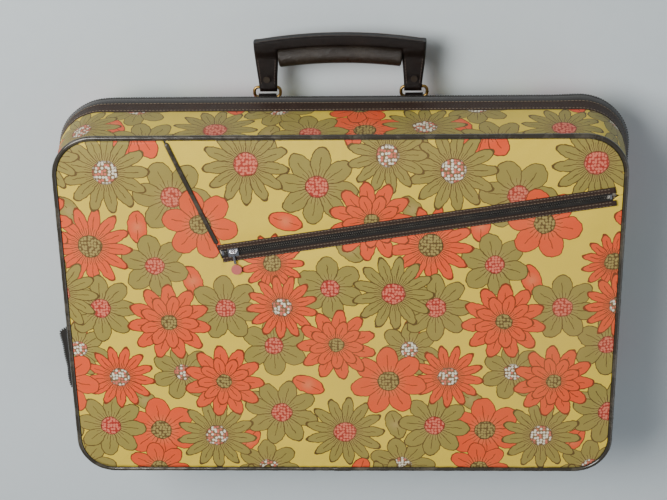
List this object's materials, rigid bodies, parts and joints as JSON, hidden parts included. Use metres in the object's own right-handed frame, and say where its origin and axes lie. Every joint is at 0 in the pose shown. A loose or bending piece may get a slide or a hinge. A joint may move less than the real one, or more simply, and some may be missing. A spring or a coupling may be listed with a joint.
{
  "type": "soft-sided zip suitcase",
  "caption": "Small soft-sided zip suitcase in flower-printed cloth with brown vinyl trim, slanted front zip pocket and padded top handle.",
  "frame": {"origin": "middle of the outer flat face of the back cover, on which the case lies", "axes": "+X across the width, to the right as seen from the front; +Y towards the handle; +Z out of the front panel"},
  "size_m": [0.563, 0.4304, 0.1434],
  "materials": {
    "floral_fabric": "printed cloth with a fine weave",
    "brown_vinyl": "grained dark brown vinyl, satin",
    "strip_vinyl": "brown vinyl binding, satin",
    "piping_vinyl": "smooth dark vinyl piping",
    "zip_tape": "black woven tape",
    "zip_teeth": "dark nylon teeth",
    "ring_brass": "worn brass wire",
    "slider_metal": "plated, slightly worn",
    "rivet_metal": "brass-plated rivet heads",
    "fibreboard": "pressed fibreboard",
    "lining_cloth": "plain lining cloth",
    "wadding": "white wadding",
    "core_steel": "bare strip steel",
    "strap_webbing": "woven webbing",
    "stud_plastic": "moulded studs",
    "tag_enamel": "coloured insert in a plated rim"
  },
  "bodies": {
    "rear_half": {"back_cover": "floral_fabric", "back_board": "fibreboard", "back_piping": "piping_vinyl", "body_gusset_cover": "floral_fabric", "body_frame": "fibreboard", "body_lining": "lining_cloth", "body_zip_binding": "strip_vinyl", "body_zip_tape": "zip_tape", "body_zip_teeth": "zip_teeth", "hinge_strip": "strip_vinyl", "main_zip_stops": "slider_metal", "handle_chape_left": "brown_vinyl", "handle_chape_right": "brown_vinyl", "chape_rivets": "rivet_metal", "chape_backing_plates": "core_steel", "body_feet": "stud_plastic", "packing_strap_left": "strap_webbing", "packing_strap_right": "strap_webbing", "strap_buckle": "slider_metal"},
    "lid": {"lid_gusset_cover": "floral_fabric", "lid_frame": "fibreboard", "lid_zip_binding": "strip_vinyl", "lid_zip_tape": "zip_tape", "lid_zip_open_run": "zip_tape", "lid_zip_teeth": "zip_teeth", "front_piping": "piping_vinyl", "front_board": "fibreboard", "front_padding": "wadding", "front_main_panel": "floral_fabric", "front_upper_panel": "floral_fabric", "pocket_lining": "lining_cloth", "pocket_slant_piping": "piping_vinyl", "pocket_zip_binding_upper": "strip_vinyl", "pocket_zip_binding_lower": "strip_vinyl", "pocket_zip_tape_upper": "zip_tape", "pocket_zip_tape_lower": "zip_tape", "pocket_zip_teeth_upper": "zip_teeth", "pocket_zip_teeth_lower": "zip_teeth", "pocket_zip_stops": "slider_metal", "lid_lining": "lining_cloth", "lid_feet": "stud_plastic"},
    "rings": {"ring_left": "ring_brass", "ring_right": "ring_brass"},
    "handle": {"handle_cover": "brown_vinyl", "handle_core": "core_steel", "handle_padding": "brown_vinyl", "handle_end_rivets": "rivet_metal"},
    "main_zip_slider": {"main_slider": "slider_metal"},
    "main_zip_pull": {"main_pull": "slider_metal"},
    "pocket_zip_slider": {"pocket_slider": "slider_metal"},
    "pocket_zip_pull": {"pocket_pull_chain": "slider_metal", "pocket_pull_tag": "tag_enamel"}
  },
  "joints": [
    {"name": "lid_hinge", "type": "hinge", "parent": "rear_half", "child": "lid", "pos_m": [0, -0.1875, 0.056], "axis": [1, 0, 0], "range_deg": [0, 130], "deforming": ["hinge_strip"]},
    {"name": "ring_swing", "type": "hinge", "parent": "rear_half", "child": "rings", "pos_m": [0, 0.18183, 0.038], "axis": [1, 0, 0], "range_deg": [-38, 38]},
    {"name": "handle_swing", "type": "hinge", "parent": "rings", "child": "handle", "pos_m": [0, 0.19183, 0.038], "axis": [1, 0, 0], "range_deg": [-42, 42]},
    {"name": "main_zip_slide", "type": "slide", "parent": "rear_half", "child": "main_zip_slider", "axis": [0, 1, 0], "range_m": [-0.108, 0.16], "deforming": ["lid_zip_open_run"]},
    {"name": "main_pull_swing", "type": "hinge", "parent": "main_zip_slider", "child": "main_zip_pull", "pos_m": [-0.2755, -0.028, 0.056], "axis": [0, 0, 1], "range_deg": [0, 170]},
    {"name": "pocket_zip_slide", "type": "slide", "parent": "lid", "child": "pocket_zip_slider", "axis": [0.9882, 0.153, 0], "range_m": [0, 0.335]},
    {"name": "pocket_pull_swing", "type": "hinge", "parent": "pocket_zip_slider", "child": "pocket_zip_pull", "pos_m": [-0.10013, 0.06368, 0.1419], "axis": [-0.9882, -0.153, 0], "range_deg": [0, 170]}
  ]
}
